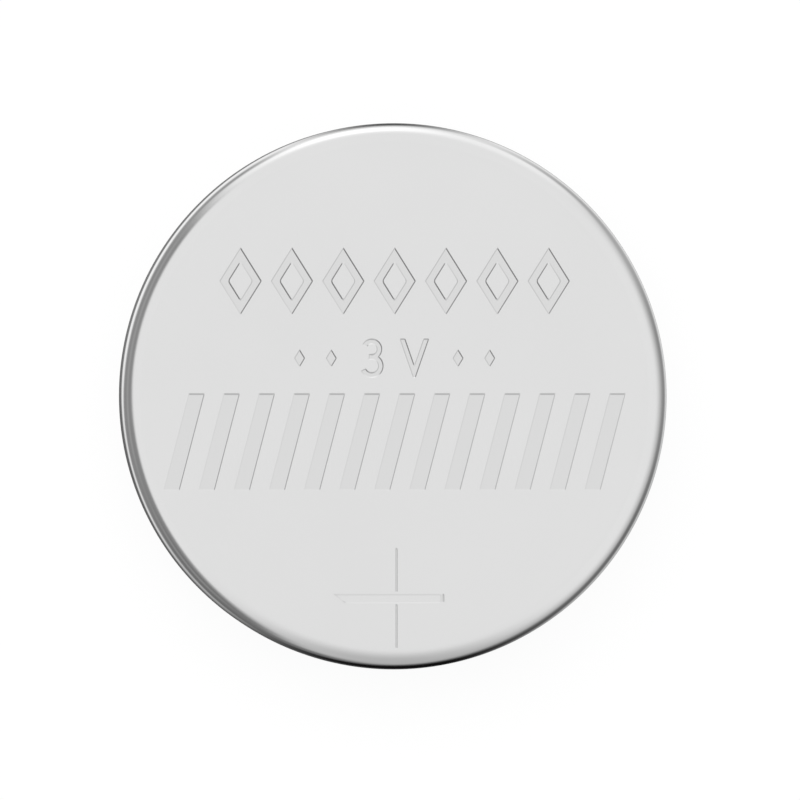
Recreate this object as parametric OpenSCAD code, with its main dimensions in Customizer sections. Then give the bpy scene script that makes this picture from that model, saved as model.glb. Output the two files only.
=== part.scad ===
// A sealed lithium coin cell of 10 mm by 2.5 mm, lying with its plus face up.
// The origin is the centre of the minus terminal's face, and +Z points at the plus face.
// All pieces but the collector grid are turned about Z: a section lies in the plane of
// radius and height, and the pieces of sheet are drawn there as a run of bent sheet.

/* [Cell] */
// Diameter over the can's wall
cell_d = 10; // [8.5:0.1:16]
// Height over the two terminals
cell_h = 2.5; // [2.3:0.1:3.6]

/* [Positive can] */
// Thickness of the can's sheet
can_t = 0.2; // [0.18:0.01:0.25]
// Inside radius of the bend from the plus face into the wall
can_bend_r = 0.15; // [0.05:0.01:0.25]
// Straight lip left over the gasket past the crimped bend
can_lip = 0.1; // [0.05:0.01:0.15]
// How far the crimped edge stays back from the minus terminal
crimp_recess = 0.1; // [0.08:0.01:0.2]

/* [Gasket] */
// Thickness of the squeezed gasket
seal_t = 0.2; // [0.18:0.01:0.25]
// How far the gasket shows past the can's lip
seal_show = 0.12; // [0.05:0.01:0.2]
// Straight length of the gasket's inner leg, inside the cap's wall
seal_leg = 0.5; // [0.2:0.05:0.7]

/* [Negative cap] */
// Thickness of the cap's sheet
cap_t = 0.2; // [0.15:0.01:0.25]
// Inside radius of the bend from the shoulder up into the cap's wall
shoulder_bend_r = 0.05; // [0.02:0.01:0.1]
// Bare floor of the groove, between the gasket's edge and the foot of the step
groove_w = 0.18; // [0.05:0.01:0.4]
// Radius in the foot of the step, between the terminal and the shoulder
step_foot_r = 0.08; // [0.04:0.01:0.1]
// Inside radius of the bend round the terminal
terminal_bend_r = 0.04; // [0.02:0.01:0.08]

/* [Electrodes] */
// Gap all round between the lithium disc and the cap's step
anode_gap = 0.6; // [0.1:0.05:0.8]
// How far the lithium stands up past the cap's shoulder, so that the separator clears it
anode_rise = 0.1; // [0:0.05:0.3]
// Gap all round between the separator and the gasket's inner leg
stack_gap = 0.4; // [0.1:0.05:0.8]
// Thickness of the separator
separator_t = 0.15; // [0.1:0.01:0.25]
// Straight height of the separator's upturned rim
separator_rim = 0.4; // [0.2:0.05:0.5]
// Clearance all round between the cathode pellet and that rim
pellet_gap = 0.05; // [0.02:0.01:0.1]

/* [Collector grid] */
// How far the grid's edge stays inside the edge of the pellet
collector_inset = 0.15; // [0:0.05:0.8]
// Thickness of the grid
collector_t = 0.1; // [0.06:0.01:0.15]
// Length of one diamond of the mesh, from knot to knot
mesh_long = 1.2; // [1:0.05:1.6]
// Width of one diamond of the mesh, from knot to knot
mesh_short = 0.7; // [0.6:0.05:1]
// Width of a strand between two openings
mesh_strand = 0.13; // [0.1:0.01:0.2]
// Width of the solid edge round the mesh
mesh_edge = 0.15; // [0.1:0.01:0.3]

/* [Hidden] */
$fn = 128;

steel = "#dedede";
cell_r = cell_d / 2;

// Heights of the seal from the minus terminal up: the can's lip, the gasket, the cap's shoulder.
shoulder_z = crimp_recess + can_t + seal_t;
shoulder_top_z = shoulder_z + cap_t;

// Cap, gasket and can bend round one centre, so each outer radius is the last one plus a sheet.
shoulder_r = shoulder_bend_r + cap_t;
seal_r = shoulder_r + seal_t;
crimp_r = seal_r + can_t;
bend_centre_r = cell_r - crimp_r;
seal_inner_r = bend_centre_r + shoulder_bend_r - seal_t;

// The step round the terminal, inside the groove that the gasket's edge leaves bare.
step_r = bend_centre_r - can_lip - seal_show - groove_w - step_foot_r;

// The inside of the can, and the edge of the cap that stands on the gasket's base.
can_floor_z = cell_h - can_t;
cap_edge_z = can_floor_z - seal_t;

// The stack between the terminals. The pellet takes the height that the other layers leave.
separator_z = shoulder_top_z + anode_rise;
cathode_z = separator_z + separator_t;
collector_z = can_floor_z - collector_t;

anode_r = step_r - cap_t - anode_gap;
separator_r = seal_inner_r - stack_gap;
cathode_r = separator_r - separator_t - pellet_gap;
collector_r = cathode_r - collector_inset;

// A strip of bent sheet, drawn from the origin along +X with its thickness on its left.
// A step is [length], a straight run, or [radius, angle], a bend of the line that is drawn:
// a positive angle turns left, towards the thickness.
module sheet(steps, t, i = 0) {
    if (i < len(steps)) {
        step = steps[i];
        if (len(step) == 1) {
            square([step[0], t]);
            translate([step[0], 0]) sheet(steps, t, i + 1);
        } else {
            side = sign(step[1]);
            pivot = [0, side * step[0]];
            translate(pivot) {
                bend(step[0], step[0] - side * t, step[1]);
                rotate(step[1]) translate(-pivot) sheet(steps, t, i + 1);
            }
        }
    }
}

// The part of a ring between two radii that a bend of up to a half turn sweeps about its centre.
module bend(r1, r2, angle) {
    outer = max(r1, r2);
    inner = min(r1, r2);
    intersection() {
        difference() {
            circle(outer);
            if (inner > 0) circle(inner);
        }
        translate([0, -2 * outer]) square([2 * outer, 4 * outer]);
        rotate(angle) translate([-2 * outer, -2 * outer]) square([2 * outer, 4 * outer]);
    }
}

// Turns a section that is drawn upside down, downward from the plus face.
module turned_from_plus_face() {
    rotate_extrude() translate([0, cell_h]) mirror([0, 1]) children();
}

// Deep-drawn steel cup. Its face is the plus terminal, and its edge is crimped over the gasket.
module positive_can() {
    corner_r = can_bend_r + can_t;
    wall = cell_h - corner_r - crimp_r - crimp_recess;
    color(steel) turned_from_plus_face()
        sheet([[cell_r - corner_r], [corner_r, 90], [wall], [crimp_r, 90], [can_lip]], can_t);
}

// Moulded polypropylene ring. It holds the cap's wall in a groove, and folds over its shoulder.
module sealing_gasket() {
    outer_leg = cap_edge_z - shoulder_z - shoulder_r;
    color("#3c4046") turned_from_plus_face()
        translate([seal_inner_r, can_t + seal_t + seal_leg]) rotate(-90)
            sheet([[seal_leg], [seal_t, 90], [cap_t], [seal_t, 90], [outer_leg],
                   [seal_r, 90], [can_lip + seal_show]], seal_t);
}

// Drawn steel cap. The raised disc is the minus terminal, and the shoulder takes the crimp.
module negative_cap() {
    corner_r = terminal_bend_r + cap_t;
    step_rise = shoulder_z - corner_r - step_foot_r;
    shoulder = bend_centre_r - step_r - step_foot_r;
    wall = cap_edge_z - shoulder_z - shoulder_r;
    color(steel) rotate_extrude()
        sheet([[step_r - corner_r], [corner_r, 90], [step_rise], [step_foot_r, -90],
               [shoulder], [shoulder_r, 90], [wall]], cap_t);
}

// Disc of lithium foil, pressed onto the inside of the cap.
module lithium_anode() {
    color("#b9bcc2") translate([0, 0, cap_t])
        cylinder(h = separator_z - cap_t, r = anode_r);
}

// Non-woven polypropylene, pressed into a shallow dish with its rim round the pellet.
module separator() {
    floor_r = separator_r - separator_t;
    color("#f2f1ec") rotate_extrude() translate([0, separator_z])
        sheet([[floor_r], [separator_t, 90], [separator_rim]], separator_t);
}

// Pellet of manganese dioxide and graphite, pressed against the collector grid.
module cathode_pellet() {
    color("#26262a") translate([0, 0, cathode_z])
        cylinder(h = collector_z - cathode_z, r = cathode_r);
}

// Expanded steel grid, welded to the inside of the can.
module cathode_collector() {
    color("#9a9da2") translate([0, 0, collector_z]) linear_extrude(collector_t)
        difference() {
            circle(collector_r);
            mesh_openings(collector_r - mesh_edge);
        }
}

// Staggered rows of diamonds, as far out as whole ones fit inside a radius.
module mesh_openings(reach) {
    half_long = opening_half(mesh_long);
    half_short = opening_half(mesh_short);
    rows = floor(reach / (mesh_short / 2));
    columns = ceil(reach / mesh_long);
    for (row = [-rows:rows], column = [-columns:columns]) {
        stagger = row % 2 == 0 ? 0 : mesh_long / 2;
        x = column * mesh_long + stagger;
        y = row * mesh_short / 2;
        furthest = max(norm([abs(x) + half_long, y]), norm([x, abs(y) + half_short]));
        if (furthest < reach) {
            translate([x, y])
                polygon([[half_long, 0], [0, half_short], [-half_long, 0], [0, -half_short]]);
        }
    }
}

// Half of an opening along one way of the mesh, for a given distance between knots.
// A side moved in by half a strand shortens both diagonals in the same proportion.
function opening_half(knots) =
    knots / 2 * (1 - mesh_strand * norm([mesh_long, mesh_short]) / (mesh_long * mesh_short));

positive_can();
sealing_gasket();
negative_cap();
lithium_anode();
separator();
cathode_pellet();
cathode_collector();
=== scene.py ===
import bpy
import numpy as np
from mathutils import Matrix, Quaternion, Vector
from mathutils.geometry import delaunay_2d_cdt


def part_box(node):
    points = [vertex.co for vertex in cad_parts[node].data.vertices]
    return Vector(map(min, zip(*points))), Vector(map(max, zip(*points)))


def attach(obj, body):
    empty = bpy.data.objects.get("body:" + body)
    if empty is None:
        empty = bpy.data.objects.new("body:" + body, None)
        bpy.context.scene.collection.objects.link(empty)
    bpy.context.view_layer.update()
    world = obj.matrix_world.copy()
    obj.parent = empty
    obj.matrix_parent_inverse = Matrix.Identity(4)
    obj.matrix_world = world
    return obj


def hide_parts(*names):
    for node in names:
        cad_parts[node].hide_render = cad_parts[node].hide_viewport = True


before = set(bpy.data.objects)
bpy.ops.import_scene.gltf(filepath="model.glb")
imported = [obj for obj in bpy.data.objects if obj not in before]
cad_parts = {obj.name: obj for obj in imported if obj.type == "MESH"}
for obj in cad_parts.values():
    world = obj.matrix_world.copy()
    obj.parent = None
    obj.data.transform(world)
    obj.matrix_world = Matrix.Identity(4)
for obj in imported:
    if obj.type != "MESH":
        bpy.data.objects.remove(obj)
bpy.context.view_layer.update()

MM = 0.001

# Negative cap
# The minus terminal: a hat drawn from nickel-plated steel strip, raised disc downwards. Its
# shoulder takes the crimp, and its wall stands in the groove of the gasket.

cap_sheet = 0.20
cap_inside_bend = 0.05
cap_foot_bend = 0.08
cap_terminal_bend = 0.04
cap_terminal_wall_r = 3.87
cap_shoulder_z = 0.50
sheared_edge = 0.03
round_steps, bend_steps, edge_steps = 256, 12, 4


def bent_strip(steps, thickness, edge, start, heading, free_start=False):
    """Outline of a strip of bent sheet. A walk of straight runs (length,) and bends (radius, degrees)
    gives the drawn side; the other side is the same walk moved left by the thickness. A bend of
    radius r turns about the point r to the left (or right) of the walker. The free ends get rounded
    edges: a quarter circle at each corner."""
    at = np.array(start, float)
    angle = np.radians(heading)
    points, ways = [at[None]], [np.array([[np.cos(angle), np.sin(angle)]])]
    for step in steps:
        way = np.array([np.cos(angle), np.sin(angle)])
        if len(step) == 1:
            at = at + way * step[0]
            points.append(at[None])
            ways.append(way[None])
        else:
            radius, turn = step[0], np.radians(step[1])
            side = np.sign(turn)
            turns = angle + turn * np.linspace(0, 1, bend_steps + 1)[1:]
            centre = at + side * radius * np.array([-way[1], way[0]])
            arc = centre + side * radius * np.stack([np.sin(turns), -np.cos(turns)], 1)
            points.append(arc)
            ways.append(np.stack([np.cos(turns), np.sin(turns)], 1))
            at, angle = arc[-1], angle + turn
    drawn, way = np.concatenate(points), np.concatenate(ways)
    other = drawn + thickness * np.stack([-way[:, 1], way[:, 0]], 1)
    end = rounded_end(drawn[-1], way[-1], thickness, edge)
    first = rounded_end(other[0], -way[0], thickness, edge) if free_start else other[:1]
    drawn = drawn[1:-1] if free_start else drawn[:-1]
    return np.concatenate([drawn, end, other[-2:0:-1], first])


def rounded_end(corner, way, thickness, edge):
    """The free end of a strip: two quarter circles, from the side walked along to the far side."""
    left = np.array([-way[1], way[0]])
    t = np.radians(np.linspace(0, 90, edge_steps + 1))[:, None]
    near = corner - edge * way * (1 - np.sin(t)) + edge * left * (1 - np.cos(t))
    far = corner - edge * way * (1 - np.cos(t)) + left * (thickness - edge * (1 - np.sin(t)))
    return np.concatenate([near, far])


def grid_quads(grid):
    """The quads between each row and the next of a grid of point numbers, whose rows are closed."""
    return np.stack([grid[:-1], np.roll(grid[:-1], -1, 1), np.roll(grid[1:], -1, 1), grid[1:]], 2)


def turned(outline, open_ends=True):
    """A section of (radius, height) turned about Z: a grid of section points by steps round the
    axis. A point on the axis stays one point, the tip of a fan of triangles."""
    turn = np.linspace(0, 2 * np.pi, round_steps, endpoint=False)
    radius, height = outline[:, :1], outline[:, 1:]
    rings = np.stack([radius * np.cos(turn), radius * np.sin(turn), height + 0 * turn], 2)
    on_axis = radius < 1e-9
    kept = ~on_axis | (np.arange(round_steps) == 0)
    numbers = np.cumsum(kept).reshape(kept.shape) - 1
    grid = np.where(on_axis, numbers[:, :1], numbers)
    faces = []
    for quads in grid_quads(grid if open_ends else np.concatenate([grid, grid[:1]])):
        faces += quads[quads != np.roll(quads, 1, 1)].reshape(round_steps, -1).tolist()
    return rings[kept], faces


def srgb(code):
    """A colour written as #rrggbb, turned to linear light."""
    value = np.array([int(code[k:k + 2], 16) for k in (1, 3, 5)]) / 255
    linear = np.where(value <= 0.04045, value / 12.92, ((value + 0.055) / 1.055) ** 2.4)
    return (*linear.tolist(), 1.0)


def add(tree, kind, settings=None, **links):
    """One node with its settings. Each input, given by its name or as i and its number, is set to a
    value or joined to an output."""
    node = tree.nodes.new(kind)
    for name, value in (settings or {}).items():
        setattr(node, name, value)
    for name, value in links.items():
        socket = node.inputs[int(name[1:])] if name[1:].isdigit() else node.inputs[name.replace("_", " ")]
        if isinstance(value, bpy.types.NodeSocket):
            tree.links.new(value, socket)
        else:
            socket.default_value = value
    return node


def bare_tree(owner):
    """The node tree of a material or world, emptied of what Blender puts there."""
    owner.use_nodes = True
    owner.node_tree.nodes.clear()
    return owner.node_tree


def material(name):
    """A node material that holds its shader and output alone, ready for a finish."""
    made = bpy.data.materials.new(name)
    tree = bare_tree(made)
    shader = add(tree, "ShaderNodeBsdfPrincipled")
    add(tree, "ShaderNodeOutputMaterial", Surface=shader.outputs[0])
    return made, tree, shader


def piece(name, points, faces, finish, node, slot, smooth_angle=35, **fields):
    """A finished piece from points in millimetres: closed, facing outward, riding on the cell. Each
    named field gives its finish one value for each point. The faces point outward where the
    pyramids from the origin to their first three corners add up to a positive volume."""
    mesh = bpy.data.meshes.new(name)
    mesh.from_pydata((points * MM).tolist(), [], faces)
    made = bpy.data.objects.new(name, mesh)
    bpy.context.scene.collection.objects.link(made)
    corners = points[np.array([face[:3] for face in faces])]
    if (corners[:, 0] * np.cross(corners[:, 1], corners[:, 2])).sum() < 0:
        mesh.flip_normals()
    mesh.shade_smooth()
    mesh.set_sharp_from_angle(angle=np.radians(smooth_angle))
    mesh.materials.append(finish)
    for field, values in fields.items():
        mesh.attributes.new(field, "FLOAT", "POINT").data.foreach_set("value", values)
    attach(made, "root")
    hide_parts(node)


def drawn_nickel(name, light, dark, coined_tone, roughness):
    """Nickel plate on cold-rolled strip, barrel-plated to a satin: a nearly neutral bright metal.
    The die leaves faint upright draw lines on a wall, and the face has only a fine even grain, so
    one noise, long in Z, gives both. The real grain is under 0.01 mm: drawn at 0.03 mm. Where the
    die slid or pressed, the field burnished makes it smoother, and a second field paints shade in the
    marks' recesses, a little darker."""
    grain_mm, cloud_mm, grain_depth_mm, burnished_share = 0.03, 2.5, 0.0003, 0.6
    made, tree, shader = material(name)
    place = add(tree, "ShaderNodeTexCoord").outputs["Object"]
    stretch = add(tree, "ShaderNodeMapping", Vector=place, Scale=(1000, 1000, 60)).outputs[0]
    grain = add(tree, "ShaderNodeTexNoise", Vector=stretch, Scale=1 / grain_mm, Detail=3.0).outputs["Fac"]
    cloud = add(tree, "ShaderNodeTexNoise", Vector=place, Scale=1000 / cloud_mm, Detail=2.0).outputs["Fac"]
    coined = add(tree, "ShaderNodeAttribute", {"attribute_name": "coined"}).outputs["Fac"]
    burnished = add(tree, "ShaderNodeAttribute", {"attribute_name": "burnished"}).outputs["Fac"]
    shade = add(tree, "ShaderNodeMix", {"data_type": "RGBA"}, Factor=cloud,
                i6=srgb(dark), i7=srgb(light)).outputs["Result"]
    # Painted shade in the marks' recesses: their walls and floors take the darker tone, deeper marks more.
    shade = add(tree, "ShaderNodeMix", {"data_type": "RGBA"}, Factor=coined,
                i6=shade, i7=srgb(coined_tone)).outputs["Result"]
    rough = add(tree, "ShaderNodeMapRange", Value=grain, From_Min=0.3, From_Max=0.7,
                To_Min=roughness * 0.9, To_Max=roughness * 1.1).outputs[0]
    slide = add(tree, "ShaderNodeMapRange", Value=burnished, To_Min=1.0,
                To_Max=burnished_share).outputs[0]
    rough = add(tree, "ShaderNodeMath", {"operation": "MULTIPLY"}, i0=rough, i1=slide).outputs[0]
    bump = add(tree, "ShaderNodeBump", Height=grain, Distance=grain_depth_mm * MM).outputs[0]
    tree.links.new(shade, shader.inputs["Base Color"])
    tree.links.new(rough, shader.inputs["Roughness"])
    tree.links.new(bump, shader.inputs["Normal"])
    shader.inputs["Metallic"].default_value = 1.0
    return made


cap_edge_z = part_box("negative_cap")[1].z / MM
cap_edge_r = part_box("negative_cap")[1].x / MM
terminal_corner = cap_terminal_bend + cap_sheet
shoulder_corner = cap_inside_bend + cap_sheet
cap_steps = [
    (cap_terminal_wall_r - terminal_corner,),
    (terminal_corner, 90),
    (cap_shoulder_z - terminal_corner - cap_foot_bend,),
    (cap_foot_bend, -90),
    (cap_edge_r - shoulder_corner - cap_terminal_wall_r - cap_foot_bend,),
    (shoulder_corner, 90),
    (cap_edge_z - cap_shoulder_z - shoulder_corner,),
]
cap_outline = bent_strip(cap_steps, cap_sheet, sheared_edge, (0, 0), 0)
cap_finish = drawn_nickel("drawn_nickel_plate_cap", "#e2e2e2", "#dcdcdd", "#d9d9d9", 0.26)
piece("cap_drawn", *turned(cap_outline), cap_finish, "negative_cap", "nickel_plated_cap")

# Lithium anode
# A disc punched from lithium foil and pressed onto the inside of the cap. Fresh lithium is a soft
# silvery metal with the foil's rolling lines, and it dulls to a grey, slightly violet skin.

skin_mm, rolling_mm = 0.9, 0.05


def dress(node, finish):
    """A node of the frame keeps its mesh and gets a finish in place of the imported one."""
    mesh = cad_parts[node].data
    mesh.materials.clear()
    mesh.materials.append(finish)


lithium, tree, shader = material("pressed_lithium_foil")
place = add(tree, "ShaderNodeTexCoord").outputs["Object"]
skin = add(tree, "ShaderNodeTexNoise", Vector=place, Scale=1000 / skin_mm, Detail=5.0).outputs["Fac"]
rolled = add(tree, "ShaderNodeMapping", Vector=place, Scale=(40, 1000, 40)).outputs[0]
lines = add(tree, "ShaderNodeTexNoise", Vector=rolled, Scale=1 / rolling_mm, Detail=2.0).outputs["Fac"]
colour = add(tree, "ShaderNodeMix", {"data_type": "RGBA"}, Factor=skin,
             i6=srgb("#a9abb3"), i7=srgb("#c6c7cb")).outputs["Result"]
rough = add(tree, "ShaderNodeMapRange", Value=skin, To_Min=0.38, To_Max=0.6).outputs[0]
bump = add(tree, "ShaderNodeBump", Height=lines, Distance=0.004 * MM).outputs[0]
tree.links.new(colour, shader.inputs["Base Color"])
tree.links.new(rough, shader.inputs["Roughness"])
tree.links.new(bump, shader.inputs["Normal"])
shader.inputs["Metallic"].default_value = 1.0
dress("lithium_anode", lithium)

# Separator
# A shallow dish hot-pressed from non-woven polypropylene, wet with electrolyte. It keeps the
# pellet off the lithium. The eye sees a soft white felt of crossing fibres.

# The real fibres are about 0.02 mm: drawn at 0.06 mm, in two directions.
fibre_mm = 0.06
felt, tree, shader = material("nonwoven_polypropylene")
place = add(tree, "ShaderNodeTexCoord").outputs["Object"]
across = add(tree, "ShaderNodeMapping", Vector=place, Rotation=(0.3, 0.2, 0.6),
             Scale=(1000, 120, 400)).outputs[0]
along = add(tree, "ShaderNodeMapping", Vector=place, Rotation=(0.1, 0.4, -0.8),
            Scale=(140, 1000, 400)).outputs[0]
first = add(tree, "ShaderNodeTexNoise", Vector=across, Scale=1 / fibre_mm, Detail=3.0).outputs["Fac"]
second = add(tree, "ShaderNodeTexNoise", Vector=along, Scale=1 / fibre_mm, Detail=3.0).outputs["Fac"]
fibres = add(tree, "ShaderNodeMath", {"operation": "MAXIMUM"}, i0=first, i1=second).outputs[0]
colour = add(tree, "ShaderNodeMix", {"data_type": "RGBA"}, Factor=fibres,
             i6=srgb("#dddcd4"), i7=srgb("#f6f5f0")).outputs["Result"]
bump = add(tree, "ShaderNodeBump", Height=fibres, Distance=0.02 * MM).outputs[0]
tree.links.new(colour, shader.inputs["Base Color"])
tree.links.new(bump, shader.inputs["Normal"])
shader.inputs["Roughness"].default_value = 0.85
shader.inputs["IOR"].default_value = 1.49
dress("separator", felt)

# Cathode pellet
# Manganese dioxide and graphite powder with a binder, pressed into a tablet. It is a dull
# charcoal black, with the graphite as fine grey specks.

# The real grains are about 0.03 mm: drawn at 0.08 mm, with a flake of graphite every 0.12 mm.
powder_mm, flake_mm = 0.08, 0.12
pressed, tree, shader = material("pressed_manganese_dioxide")
place = add(tree, "ShaderNodeTexCoord").outputs["Object"]
powder = add(tree, "ShaderNodeTexNoise", Vector=place, Scale=1000 / powder_mm, Detail=6.0).outputs["Fac"]
flake = add(tree, "ShaderNodeTexVoronoi", Vector=place, Scale=1000 / flake_mm).outputs["Distance"]
speck = add(tree, "ShaderNodeMapRange", Value=flake, From_Min=0.12, From_Max=0.2,
            To_Min=1.0, To_Max=0.0).outputs[0]
colour = add(tree, "ShaderNodeMix", {"data_type": "RGBA"}, Factor=speck,
             i6=srgb("#232326"), i7=srgb("#4b4b50")).outputs["Result"]
bump = add(tree, "ShaderNodeBump", Height=powder, Distance=0.01 * MM).outputs[0]
tree.links.new(colour, shader.inputs["Base Color"])
tree.links.new(bump, shader.inputs["Normal"])
shader.inputs["Roughness"].default_value = 0.8
dress("cathode_pellet", pressed)

# Cathode collector
# Expanded stainless steel: a slit sheet pulled into diamonds, rolled flat and spot-welded
# inside the can. It is darker and cooler in colour than the nickel plate, and each strand differs.

strand_mm = 0.15
grid_steel, tree, shader = material("expanded_stainless_steel")
place = add(tree, "ShaderNodeTexCoord").outputs["Object"]
strand = add(tree, "ShaderNodeTexNoise", Vector=place, Scale=1000 / strand_mm, Detail=4.0).outputs["Fac"]
colour = add(tree, "ShaderNodeMix", {"data_type": "RGBA"}, Factor=strand,
             i6=srgb("#a6a8ab"), i7=srgb("#c2c3c6")).outputs["Result"]
rough = add(tree, "ShaderNodeMapRange", Value=strand, To_Min=0.28, To_Max=0.42).outputs[0]
tree.links.new(colour, shader.inputs["Base Color"])
tree.links.new(rough, shader.inputs["Roughness"])
shader.inputs["Metallic"].default_value = 1.0
dress("cathode_collector", grid_steel)

# Sealing gasket
# A ring moulded in dark polypropylene. The cap's wall stands in its groove, and the can's
# crimped edge squeezes it over the cap's shoulder, where its rim shows as a thin dark line.

seal_thick = 0.20
seal_leg = 0.50
seal_shows = 0.22
mould_edge = 0.05

# Moulding leaves faint clouds where the plastic flowed, and the mould's own fine roughness. A little
# light goes in under the skin.
flow_mm, mould_grain_mm, skin_depth_mm = 0.5, 0.06, 0.3
moulded, tree, shader = material("moulded_polypropylene")
place = add(tree, "ShaderNodeTexCoord").outputs["Object"]
flow = add(tree, "ShaderNodeTexNoise", Vector=place, Scale=1000 / flow_mm, Detail=3.0).outputs["Fac"]
fine = add(tree, "ShaderNodeTexNoise", Vector=place, Scale=1000 / mould_grain_mm,
           Detail=2.0).outputs["Fac"]
colour = add(tree, "ShaderNodeMix", {"data_type": "RGBA"}, Factor=flow,
             i6=srgb("#33363b"), i7=srgb("#464a50")).outputs["Result"]
rough = add(tree, "ShaderNodeMapRange", Value=fine, To_Min=0.35, To_Max=0.5).outputs[0]
bump = add(tree, "ShaderNodeBump", Height=fine, Distance=0.001 * MM).outputs[0]
tree.links.new(colour, shader.inputs["Base Color"])
tree.links.new(rough, shader.inputs["Roughness"])
tree.links.new(bump, shader.inputs["Normal"])
shader.inputs["IOR"].default_value = 1.49
shader.inputs["Subsurface Weight"].default_value = 0.1
shader.inputs["Subsurface Radius"].default_value = [skin_depth_mm * MM] * 3

seal_top_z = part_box("sealing_gasket")[1].z / MM
seal_low_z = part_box("sealing_gasket")[0].z / MM
seal_outer_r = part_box("sealing_gasket")[1].x / MM
seal_bend = shoulder_corner + seal_thick
seal_inner_r = seal_outer_r - 2 * seal_thick - cap_sheet
leg_foot_z = seal_top_z - seal_thick - seal_leg
# A walk keeps its thickness on its left, so this one is made upside down, from the leg's foot.
seal_steps = [
    (seal_leg,),
    (seal_thick, 90),
    (cap_sheet,),
    (seal_thick, 90),
    (seal_top_z - seal_thick - seal_low_z - seal_bend,),
    (seal_bend, 90),
    (seal_shows,),
]
seal_outline = bent_strip(seal_steps, seal_thick, mould_edge, (seal_inner_r, -leg_foot_z), -90,
                          free_start=True)
seal_outline[:, 1] *= -1
piece("gasket_moulded", *turned(seal_outline, open_ends=False), moulded,
      "sealing_gasket", "polypropylene_gasket")

# Positive can
# The plus terminal: a cup deep-drawn from nickel-plated strip, coined with shallow marks on its flat
# face (lozenges, the voltage, slanted bars and the plus sign), and crimped round gasket and cap.

can_sheet = 0.20
can_inside_bend = 0.15
can_lip = 0.10
can_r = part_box("positive_can")[1].x / MM
face_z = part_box("positive_can")[1].z / MM
lip_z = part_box("positive_can")[0].z / MM
can_corner = can_inside_bend + can_sheet
crimp_bend = seal_bend + can_sheet
face_r = can_r - can_corner

# The burnished plate starts a hair outside the flat face. A mark's wall is this wide between two
# narrow level strips, and a mark of the full depth or more gets the full painted shade in its recess.
burnish_gap = 0.01
mark_wall = 0.040
mark_guard = 0.006
mark_corner = 0.03
full_shade_depth = 0.015
even_spread = (1, 1)

# The marks, from the top of the face down: places, sizes, strokes and depths.
ring_y, ring_height, ring_width, ring_depth = 2.11, 1.28, 0.80, 0.023
ring_stroke, ring_pitch, ring_count = 0.17, 0.94, 7
volt_y, volt_height, volt_stroke, volt_depth, volt_spread = 0.70, 0.73, 0.115, 0.020, (0.8, 0.8)
three_x, v_x, v_width = -0.42, 0.36, 0.68
dots_x, dots_width, dots_height = (1.16, 1.74), 0.22, 0.36
bar_y, bar_height, bar_width, bar_depth = -0.83, 1.79, 0.32, 0.018
bar_pitch, bar_count, bar_slant = 0.642, 13, 0.26
plus_x, plus_y, plus_span, plus_upright, plus_level = 0.03, -3.69, 1.86, 0.050, 0.175
plus_right, plus_left, plus_worn, plus_end = 0.82, 0.93, 0.22, 0.857
plus_deep, plus_shallow = 0.013, 0.0045
upright_spread, level_ends, level_lower = (0.5, 1), 0.12, 0.22


def outline(corners, inset, spread):
    """A polygon moved in by the inset, with each corner turned into a curve. Every corner goes along
    the mitre, so that both edges beside it shift left alike, times the spread in X and in Y, which
    is one pair for all corners or one for each. The curve starts and ends a corner length away, which
    is less by the inset where the recess is convex and more where it is hollow, and stays under half
    of each side."""
    least_reach, most_of_side, curve_steps = 0.002, 0.45, 5
    before = corners - np.roll(corners, 1, 0)
    after = np.roll(corners, -1, 0) - corners
    before /= np.linalg.norm(before, axis=1, keepdims=True)
    after /= np.linalg.norm(after, axis=1, keepdims=True)
    left = np.stack([-before[:, 1] - after[:, 1], before[:, 0] + after[:, 0]], 1)
    tips = corners + inset * left / (1 + (before * after).sum(1, keepdims=True)) * spread
    hollow = before[:, 0] * after[:, 1] < before[:, 1] * after[:, 0]
    side = np.linalg.norm(np.roll(tips, -1, 0) - tips, axis=1)
    reach = np.where(hollow, mark_corner + inset, np.maximum(mark_corner - inset, least_reach))
    reach = np.minimum(reach, most_of_side * np.minimum(side, np.roll(side, 1)))[:, None]
    start, stop = tips - reach * before, tips + reach * after
    t = np.linspace(0, 1, curve_steps + 1)[None, :, None]
    curve = (1 - t) ** 2 * start[:, None] + 2 * t * (1 - t) * tips[:, None] + t ** 2 * stop[:, None]
    return curve.reshape(-1, 2)


def arc(centre, radius, start, stop, count=24):
    """Points of a circle from one angle to another, in degrees."""
    t = np.radians(np.linspace(start, stop, count))
    return np.stack([centre[0] + radius * np.cos(t), centre[1] + radius * np.sin(t)], 1)


def lozenge(x, y, width, height):
    """The four corners of a diamond."""
    return np.array([(x + width / 2, y), (x, y + height / 2), (x - width / 2, y), (x, y - height / 2)])


def slanted_bar(x, y, width, height, slant):
    """The four corners of a bar whose top is moved right by the slant of its height."""
    lean, low, high = slant * height / 2, y - height / 2, y + height / 2
    return np.array([(x - width / 2 - lean, low), (x + width / 2 - lean, low),
                     (x + width / 2 + lean, high), (x - width / 2 + lean, high)])


def upright_bar(x, low, high, width):
    """The four corners of an upright bar between two heights."""
    return slanted_bar(x, (low + high) / 2, width, high - low, 0)


def letter_v(x, y, width, height, stroke):
    """Two strokes that lean together to a blunt foot."""
    foot = 0.5 * stroke
    slope = height / ((width - stroke - foot) / 2)
    across = stroke * np.hypot(slope, 1) / slope
    inner_y = slope * (across - foot / 2)
    corners = [(-foot / 2, 0), (foot / 2, 0), (foot / 2 + height / slope, height),
               (foot / 2 + height / slope - across, height), (0, inner_y),
               (across - foot / 2 - height / slope, height), (-foot / 2 - height / slope, height)]
    return np.array(corners) + [x, y - height / 2]


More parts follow.
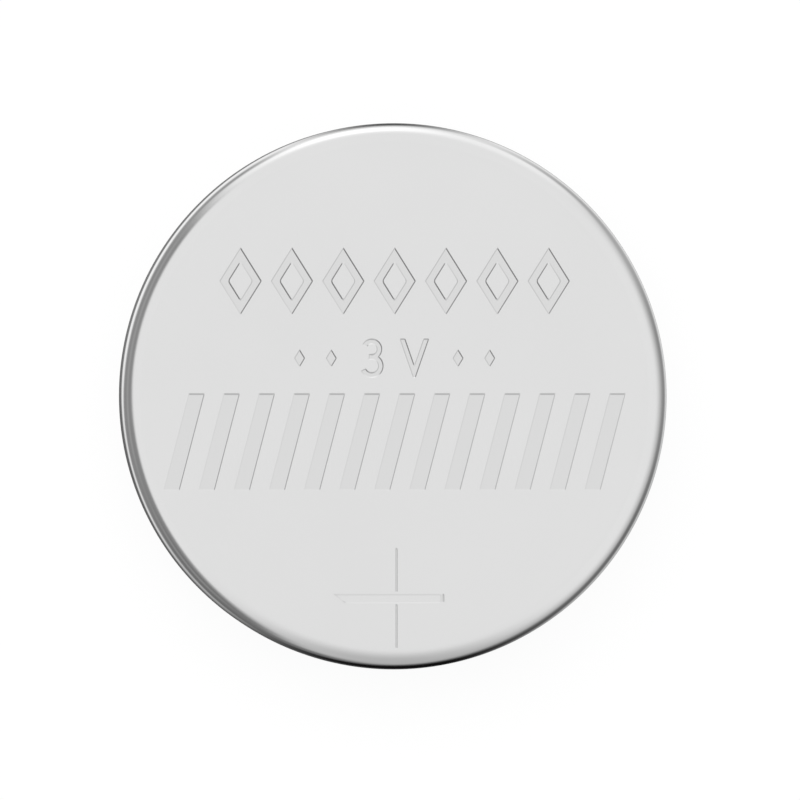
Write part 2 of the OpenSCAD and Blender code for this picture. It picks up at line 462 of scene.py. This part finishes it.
def figure_three(x, y, height, stroke, inset):
    """Two bowls of one stroke that share a short bar, moved in by the inset. The outline runs down
    the outside of both bowls, and back up the inside, where it goes round the bar's free end."""
    lower_share, bar_share, open_end = 0.27, 0.45, 160
    h = stroke / 2 - inset
    lower_r = (height - stroke) * lower_share
    upper_r = (height - stroke) / 2 - lower_r
    lower = np.array([x, y - height / 2 + stroke / 2 + lower_r])
    upper = np.array([x, y + height / 2 - stroke / 2 - upper_r])
    bar_y = lower[1] + lower_r
    bar_end = x - bar_share * upper_r + inset
    end_high = open_end - np.degrees(inset / upper_r)
    end_low = open_end - np.degrees(inset / lower_r)
    # The notch on the right is where the two outer circles cross.
    big, small, gap = lower_r + h, upper_r + h, upper[1] - lower[1]
    rise = (big ** 2 - small ** 2 + gap ** 2) / (2 * gap)
    notch_low = np.degrees(np.arcsin(rise / big))
    notch_high = -np.degrees(np.arcsin((gap - rise) / small))
    loop = np.concatenate([
        arc(upper, small, end_high, notch_high),
        arc(lower, big, notch_low, -end_low, 30)[1:],
        arc(lower, lower_r - h, -end_low, 90),
        [[bar_end, bar_y - h], [bar_end, bar_y + h]],
        arc(upper, upper_r - h, -90, end_high),
    ])
    return loop[::-1]


def inside(points, loops):
    """True where a point lies inside an odd number of loops: a ray to the right crosses their
    edges an odd number of times."""
    odd = np.zeros(len(points), bool)
    for loop in loops:
        a, b = loop, np.roll(loop, -1, 0)
        spans = (a[None, :, 1] > points[:, None, 1]) != (b[None, :, 1] > points[:, None, 1])
        rise = np.where(b[:, 1] == a[:, 1], 1.0, b[:, 1] - a[:, 1])
        cross = a[:, 0] + (points[:, None, 1] - a[:, 1]) * (b[:, 0] - a[:, 0]) / rise
        odd ^= (spans & (points[:, None, 0] < cross)).sum(1) % 2 == 1
    return odd


def flat_area(loops, firsts):
    """Triangles of the flat area that lies inside an odd number of closed loops. The points of a
    loop are numbered in the piece from its first, and the triangles use those numbers."""
    points = np.concatenate(loops)
    starts = np.cumsum([0] + [len(loop) for loop in loops])
    edges = [np.stack([s + np.arange(n), s + (np.arange(n) + 1) % n], 1)
             for s, n in zip(starts, np.diff(starts))]
    numbers = np.concatenate([first + np.arange(len(loop)) for first, loop in zip(firsts, loops)])
    within_loops, same_point = 1, 1e-7
    verts, _, tris, origin, _, _ = delaunay_2d_cdt(
        [Vector(p) for p in points.tolist()], np.concatenate(edges).tolist(), [],
        within_loops, same_point)
    given = np.array([o[0] for o in origin])
    tris = np.array(tris)
    centres = np.array([tuple(v) for v in verts])[tris].mean(1)
    return numbers[given[tris[inside(centres, loops)]]].tolist()


# The wall of a mark is a profile carried along its outline: level, an easy curve down, level.
wall_t = np.linspace(0, 1, 6)
wall_in = np.concatenate([[-mark_guard], mark_wall * wall_t, [mark_wall + mark_guard]])
wall_down = np.concatenate([[0], 3 * wall_t ** 2 - 2 * wall_t ** 3, [1]])

# Each polygon has its depth and its spread, which is the width of its walls over the common one.
polygons = [(letter_v(v_x, volt_y, v_width, volt_height, volt_stroke), volt_depth, volt_spread)]
for x in dots_x:
    for dot_x in (x, -x):
        polygons.append((lozenge(dot_x, volt_y, dots_width, dots_height), volt_depth, volt_spread))
# A stroke is one side's shift, so the inner lozenge loses it on both sides of each diagonal.
shrink = 1 - 2 * ring_stroke * np.hypot(ring_width, ring_height) / (ring_width * ring_height)
for k in range(ring_count):
    x = (k - (ring_count - 1) / 2) * ring_pitch
    polygons.append((lozenge(x, ring_y, ring_width, ring_height), ring_depth, even_spread))
    inner = lozenge(x, ring_y, ring_width * shrink, ring_height * shrink)
    polygons.append((inner[::-1], ring_depth, even_spread))
for k in range(bar_count):
    x = (k - (bar_count - 1) / 2) * bar_pitch
    polygons.append((slanted_bar(x, bar_y, bar_width, bar_height, bar_slant), bar_depth, even_spread))
# The plus: a thin upright, struck in two halves, and a shallower level bar. The bar's left end is
# worn, its right end is struck as deep as the upright, and its lower edge is sharper than the upper.
half_level = plus_level / 2
near, far = half_level + 2 * mark_guard, plus_span / 2
for x, low, high in ((0, near, far), (0, -far, -near), (plus_end, -half_level, half_level)):
    upright = upright_bar(plus_x + x, plus_y + low, plus_y + high, plus_upright)
    polygons.append((upright, plus_deep, upright_spread))
level_bar = [(-plus_left, -half_level), (plus_right, -half_level),
             (plus_right, half_level), (-plus_left - plus_worn, half_level)]
level_spread = [(level_ends, level_lower), (level_ends, level_lower), (level_ends, 1), (level_ends, 1)]
polygons.append((np.array(level_bar) + [plus_x, plus_y], plus_shallow, level_spread))
marks = [(np.stack([outline(polygon, step, spread) for step in wall_in]), depth)
         for polygon, depth, spread in polygons]
marks.append((np.stack([figure_three(three_x, volt_y, volt_height, volt_stroke, step)
                        for step in volt_spread[0] * wall_in]), volt_depth))

can_steps = [
    (face_r,),
    (can_corner, 90),
    (face_z - can_corner - crimp_bend - lip_z,),
    (crimp_bend, 90),
    (can_lip,),
]
can_outline = bent_strip(can_steps, can_sheet, sheared_edge, (0, -face_z), 0)
can_outline[:, 1] *= -1
can_outline = np.concatenate([[[face_r - mark_guard, face_z]], can_outline[1:]])
can_points, can_faces = turned(can_outline)
# The die slid over the bend and the wall: there the plate is burnished.
burnished = (np.hypot(can_points[:, 0], can_points[:, 1]) > face_r + burnish_gap).astype(float)
coined = np.zeros(len(can_points))

# The plain face spans from the can's rim to the tops of the marks, and each mark has a flat floor.
top_loops, top_firsts = [can_points[:round_steps, :2]], [0]
floor_loops, floor_firsts = [], []
for rings, depth in marks:
    total, count = len(can_points), rings.shape[1]
    heights = np.repeat(face_z - depth * wall_down, count)
    can_points = np.concatenate([can_points, np.column_stack([rings.reshape(-1, 2), heights])])
    grid = total + np.arange(len(wall_in) * count).reshape(-1, count)
    can_faces += grid_quads(grid).reshape(-1, 4).tolist()
    # Painted shade in each recess: none on the level strip at the top, all of it on the floor, and full at
    # the full depth.
    shade_share = min(1, depth / full_shade_depth)
    coined = np.concatenate([coined, shade_share * np.repeat(wall_down, count)])
    burnished = np.concatenate([burnished, np.repeat(wall_down, count)])
    top_loops.append(rings[0])
    top_firsts.append(grid[0, 0])
    floor_loops.append(rings[-1])
    floor_firsts.append(grid[-1, 0])
can_faces += flat_area(top_loops, top_firsts)
can_faces += flat_area(floor_loops, floor_firsts)
# Its third tone is the painted shade of the marks' recesses.
can_finish = drawn_nickel("drawn_nickel_plate_can", "#e1e1e1", "#dedede", "#dadada", 0.22)
piece("can_drawn", can_points, can_faces, can_finish, "positive_can", "nickel_plated_can",
      smooth_angle=50, coined=coined, burnished=burnished)

# Studio
# A white table and a light tent of pale and dark cards, which only shiny metal sees, with one
# soft lamp overhead for the shadow. Low round the cell the tent holds painted shadow on the table.

bpy.context.scene.view_settings.view_transform = "Standard"

# The table's white paper shows mostly as plain white, with a share of its own shading, which is the
# cell's shadow. It lies a hair below the terminal, so that the two never share a plane, and it is
# clear from below. The room gives less light than it shows.
floor_half, floor_z = 0.6, -0.02 * MM
paper_white, plain_share, plain_level = 0.9, 0.88, 1.03
room_light, room_white = 0.75, 1.0
white = (1, 1, 1, 1)


def seen_outright(tree):
    """1 for a ray that shows the white itself, from the camera or by way of metal or glass, and 0
    for the light that it sheds."""
    path = add(tree, "ShaderNodeLightPath").outputs
    seen = add(tree, "ShaderNodeMath", {"operation": "MAXIMUM"},
               i0=path["Is Camera Ray"], i1=path["Is Glossy Ray"]).outputs[0]
    return add(tree, "ShaderNodeMath", {"operation": "MAXIMUM"},
               i0=seen, i1=path["Is Transmission Ray"]).outputs[0]


floor = bpy.data.objects.new("floor", bpy.data.meshes.new("floor"))
corners = [(-floor_half, -floor_half, floor_z), (floor_half, -floor_half, floor_z),
           (floor_half, floor_half, floor_z), (-floor_half, floor_half, floor_z)]
floor.data.from_pydata(corners, [], [(0, 1, 2, 3)])
bpy.context.scene.collection.objects.link(floor)
white_table = bpy.data.materials.new("white_table")
tree = bare_tree(white_table)
share = add(tree, "ShaderNodeMath", {"operation": "MULTIPLY"},
            i0=seen_outright(tree), i1=plain_share).outputs[0]
paper = add(tree, "ShaderNodeBsdfDiffuse", Color=(paper_white, paper_white, paper_white, 1))
plain = add(tree, "ShaderNodeEmission", Color=white, Strength=plain_level)
mixed = add(tree, "ShaderNodeMixShader", i0=share, i1=paper.outputs[0], i2=plain.outputs[0])
below = add(tree, "ShaderNodeNewGeometry").outputs["Backfacing"]
clear = add(tree, "ShaderNodeBsdfTransparent")
shown = add(tree, "ShaderNodeMixShader", i0=below, i1=mixed.outputs[0], i2=clear.outputs[0])
add(tree, "ShaderNodeOutputMaterial", Surface=shown.outputs[0])
floor.data.materials.append(white_table)

world = bpy.data.worlds.new("white_room")
bpy.context.scene.world = world
tree = bare_tree(world)
level = add(tree, "ShaderNodeMix", {"data_type": "FLOAT"}, Factor=seen_outright(tree),
            A=room_light, B=room_white).outputs["Result"]
room = add(tree, "ShaderNodeBackground", Color=white, Strength=level)
add(tree, "ShaderNodeOutputWorld", Surface=room.outputs[0])

# The tent: a surface of revolution that only glossy rays meet. Each point lies in a direction,
# given by azimuth and rise, from a point in the cell's upper edge, on the table or on a dome.
tent_reach, tent_foot, tent_head = 60.0, -89, 86
edge_r, edge_z = can_r - 0.1, face_z - 0.2
tent_turns, tent_rises = 144, 110
azimuth, rise = np.meshgrid(np.linspace(0, 360, tent_turns, endpoint=False),
                            np.linspace(tent_foot, tent_head, tent_rises))
tone = np.ones(rise.shape)


def ease(value, start, stop):
    """0 before the start, 1 after the stop, and an easy curve between them."""
    t = np.clip((value - start) / (stop - start), 0, 1)
    return t * t * (3 - 2 * t)


def card(level, middle, half, soft, low, high):
    """The tent's tone with one card more: a level of light in the azimuths within half a width of
    the middle. Its sides fade over the soft angle, its foot and head over the angles given."""
    off = abs((azimuth - middle + 180) % 360 - 180)
    cover = 1 - ease(off, half - soft, half + soft)
    cover = cover * ease(rise, *low) * (1 - ease(rise, *high))
    return tone + cover * (level - tone)


# A later card covers the ones before it. Azimuth 0 is the right side, and 90 the back.
table = (-91, -90)
# Pale paper in front, and the wide grey cards on the right and left, with the left one's streaks.
tone = card(0.60, 270, 27, 24, table, (30, 100))
tone = card(0.32, 341, 57, 28, (-62, -22), (-22, 47))
tone = card(0.19, 317, 30, 20, (-42, -22), (-12, 8))
tone = card(0.50, 44, 17, 14, (-50, -22), (-14, 10))
tone = card(0.325, 186, 54, 12, (-40, -16), (27, 47))
tone = card(0.30, 204, 22, 12, (-40, -16), (32, 53))
tone = card(0.20, 228, 19, 12, (-28, -16), (14, 34))
tone = card(0.40, 165, 32, 14, (-5, 3), (10, 18))
tone = card(0.32, 218, 16, 8, (-5, 3), (10, 18))
# White paper low on the left, the bright wall and reflector at the back, and painted shadow on the table
# below them.
tone = card(1.15, 150, 35, 20, table, (-42, -26))
tone = card(1.14, 88, 40, 14, (-16, 0), (10, 40))
tone = card(1.50, 97, 15, 12, (-24, -4), (7, 26))
tone = card(0.10, 90, 13, 13, table, (-42, -18))
tone = card(0.38, 130, 14, 8, (-38, -18), (-14, 4))
tone = card(0.45, 235, 20, 12, table, (-44, -24))
# Painted shadow of the cell on the table in front: nearly black low down, inside a wider dark shade, and a
# shade at its left corner.
tone = card(0.14, 272, 32, 24, table, (-16, 2))
tone = card(0.003, 272, 30, 22, table, (-25, -6))
tone = card(0.20, 248, 16, 10, (-22, -8), (-8, 14))
# Painted shadow on the table close round the cell, darker at the left and paler at the right.
tone = card(0.20, 0, 200, 1, table, (-77, -54))
tone = card(0.12, 222, 45, 22, table, (-68, -38))
tone = card(0.50, 325, 25, 20, table, (-60, -38))

turn, lift = np.radians(azimuth), np.radians(rise)
reach = np.minimum(tent_reach, edge_z / np.maximum(np.sin(-lift), 1e-6))
across = edge_r + reach * np.cos(lift)
tent_points = np.stack([across * np.cos(turn), across * np.sin(turn), edge_z + reach * np.sin(lift)], 2)
# The quads are turned over, to face inward.
quads = grid_quads(np.arange(rise.size).reshape(rise.shape))[..., [0, 3, 2, 1]]
tent = bpy.data.objects.new("light_tent", bpy.data.meshes.new("light_tent"))
tent.data.from_pydata((tent_points.reshape(-1, 3) * MM).tolist(), [], quads.reshape(-1, 4).tolist())
tent.data.attributes.new("tone", "FLOAT", "POINT").data.foreach_set("value", tone.ravel())
bpy.context.scene.collection.objects.link(tent)
tent.visible_camera = tent.visible_diffuse = tent.visible_shadow = tent.visible_transmission = False
# The cards glow by their tone, and the painted shadow on the table is among them.
cards = bpy.data.materials.new("tent_cards_and_painted_shadow")
tree = bare_tree(cards)
painted = add(tree, "ShaderNodeAttribute", {"attribute_name": "tone"}).outputs["Fac"]
light = add(tree, "ShaderNodeEmission", Color=white, Strength=painted)
add(tree, "ShaderNodeOutputMaterial", Surface=light.outputs[0])
tent.data.materials.append(cards)

lamp_data = bpy.data.lights.new("soft_overhead", "AREA")
lamp_data.shape = "DISK"
lamp_data.size = 0.30
lamp_data.energy = 0.35
lamp = bpy.data.objects.new("soft_overhead", lamp_data)
lamp.location = (-0.05, 0.12, 0.30)
lamp.rotation_euler = (Vector((0, 0, 0)) - lamp.location).to_track_quat("-Z", "Y").to_euler()
lamp.visible_glossy = False
bpy.context.scene.collection.objects.link(lamp)

# Camera
# Nearly straight above the plus face, leaning a little to the left and a hair to the top, so that
# a sliver of the wall shows there.

photo_size = 800
cell_px = (392.3, 396.1)
px_per_mm = 54.5
camera_distance = 0.30
camera_lean, camera_azimuth = 2.4, 170
aim_z = 1.45
sensor = 7.5

camera_data = bpy.data.cameras.new("camera")
camera = bpy.data.objects.new("camera", camera_data)
bpy.context.scene.collection.objects.link(camera)
bpy.context.scene.camera = camera
lean, side = np.radians(camera_lean), np.radians(camera_azimuth)
away = Vector((np.sin(lean) * np.cos(side), np.sin(lean) * np.sin(side), np.cos(lean)))
frame_width = photo_size / px_per_mm * MM
camera_data.sensor_width = sensor
camera_data.lens = sensor * camera_distance / frame_width
camera.location = Vector((0, 0, aim_z * MM)) + away * camera_distance
camera.rotation_euler = Quaternion((-np.sin(side), np.cos(side), 0), lean).to_euler()
camera_data.shift_x = (photo_size / 2 - cell_px[0]) / photo_size
camera_data.shift_y = (cell_px[1] - photo_size / 2) / photo_size
camera_data.clip_start = 0.01
camera_data.clip_end = 10
